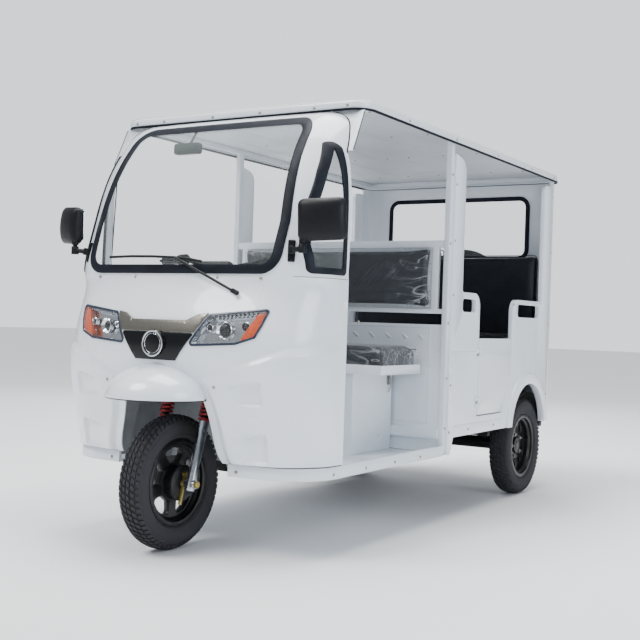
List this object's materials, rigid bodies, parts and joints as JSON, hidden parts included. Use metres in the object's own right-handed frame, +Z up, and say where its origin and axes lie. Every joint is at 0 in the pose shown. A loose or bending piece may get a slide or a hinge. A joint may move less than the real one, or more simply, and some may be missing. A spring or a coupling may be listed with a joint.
{
  "type": "auto rickshaw",
  "caption": "Three-wheeled passenger rickshaw: rounded front cowl, raked screen, ribbed roof, open driver's seat, facing cabin benches with low doors, steered fork and turning wheels.",
  "frame": {"origin": "on the ground under the middle of the bounding box", "axes": "+Y runs rearwards along the vehicle, so the front faces -Y; +X is the vehicle's left side; +Z is up"},
  "size_m": [1.4508, 2.96, 1.7698],
  "materials": {
    "white_panel": "glossy white paint, a little blue",
    "safety_glass": "clear safety glass",
    "window_rubber": "soft matt navy black",
    "black_plastic": "grained black",
    "silver_bezel": "dark lamp bowl",
    "lamp_lens": "clear polished lens",
    "amber_lens": "clear amber",
    "silver_trim": "satin champagne silver",
    "gloss_black_plastic": "glossy black",
    "liner_sheet": "pale grey sheet",
    "white_frame": "white satin paint",
    "white_plastic": "glossy white moulding",
    "floor_sheet": "dark mat",
    "seat_vinyl": "black seat vinyl",
    "bench_board": "white paint",
    "mirror_glass": "polished",
    "red_lens": "clear red",
    "chassis_steel": "black chassis paint",
    "motor_casting": "cast",
    "battery_case": "dark case",
    "fork_alloy": "satin",
    "red_spring": "red paint",
    "axle_steel": "zinc plated",
    "black_wheel": "satin black",
    "tyre_rubber": "black rubber"
  },
  "bodies": {
    "body": {"front_cowl": "white_panel", "windscreen_frame": "white_panel", "window_glass": "safety_glass", "window_gaskets": "window_rubber", "wheel_hood": "white_plastic", "headlamp_housings": "silver_bezel", "headlamp_lenses": "lamp_lens", "turn_signals": "amber_lens", "nose_trim": "silver_trim", "nose_panel": "gloss_black_plastic", "roof_shell": "white_panel", "roof_edge_trim": "window_rubber", "roof_liner": "liner_sheet", "cabin_frame": "white_frame", "side_panel_left": "white_panel", "side_panel_right": "white_panel", "rear_panel": "white_panel", "front_floor": "white_panel", "rear_floor": "floor_sheet", "wheel_liners": "black_plastic", "partition_panel": "white_panel", "partition_rails": "white_frame", "seat_pedestal": "white_panel", "driver_seat": "seat_vinyl", "partition_backrests": "seat_vinyl", "bench_bases": "bench_board", "bench_cushions": "seat_vinyl", "rear_backrest": "seat_vinyl", "side_mirrors": "black_plastic", "mirror_glasses": "mirror_glass", "interior_mirror": "black_plastic", "wiper": "black_plastic", "tail_lamps": "red_lens", "rear_bumper": "black_plastic", "chassis_frame": "chassis_steel", "leaf_springs": "chassis_steel", "rear_axle": "chassis_steel", "drive_motor": "motor_casting", "battery_pack": "battery_case", "spare_rim": "black_wheel", "spare_tyre": "tyre_rubber", "spare_carrier": "chassis_steel"},
    "steering": {"steering_fork": "chassis_steel", "fork_sliders": "fork_alloy", "fork_springs": "red_spring", "front_axle": "axle_steel", "handlebar": "black_plastic", "instrument_pod": "black_plastic"},
    "front_wheel": {"front_rim": "black_wheel", "front_tyre": "tyre_rubber"},
    "rear_wheel_left": {"rear_rim_left": "black_wheel", "rear_tyre_left": "tyre_rubber"},
    "rear_wheel_right": {"rear_rim_right": "black_wheel", "rear_tyre_right": "tyre_rubber"},
    "door_left": {"door_left": "white_panel"},
    "door_right": {"door_right": "white_panel"}
  },
  "joints": [
    {"name": "steering", "type": "hinge", "parent": "body", "child": "steering", "pos_m": [0, -1.01466, 0.71253], "axis": [0, 0.2924, 0.9563], "range_deg": [-35, 35]},
    {"name": "front_wheel_spin", "type": "hinge", "parent": "steering", "child": "front_wheel", "pos_m": [0, -1.2, 0.2535], "axis": [1, 0, 0], "continuous": true},
    {"name": "rear_wheel_left_spin", "type": "hinge", "parent": "body", "child": "rear_wheel_left", "pos_m": [0.513, 1.015, 0.2535], "axis": [1, 0, 0], "continuous": true},
    {"name": "rear_wheel_right_spin", "type": "hinge", "parent": "body", "child": "rear_wheel_right", "pos_m": [-0.513, 1.015, 0.2535], "axis": [1, 0, 0], "continuous": true},
    {"name": "door_left_swing", "type": "hinge", "parent": "body", "child": "door_left", "pos_m": [0.602, 0.295, 0.64], "axis": [0, 0, -1], "range_deg": [0, 75]},
    {"name": "door_right_swing", "type": "hinge", "parent": "body", "child": "door_right", "pos_m": [-0.602, 0.295, 0.64], "axis": [0, 0, 1], "range_deg": [0, 75]}
  ]
}
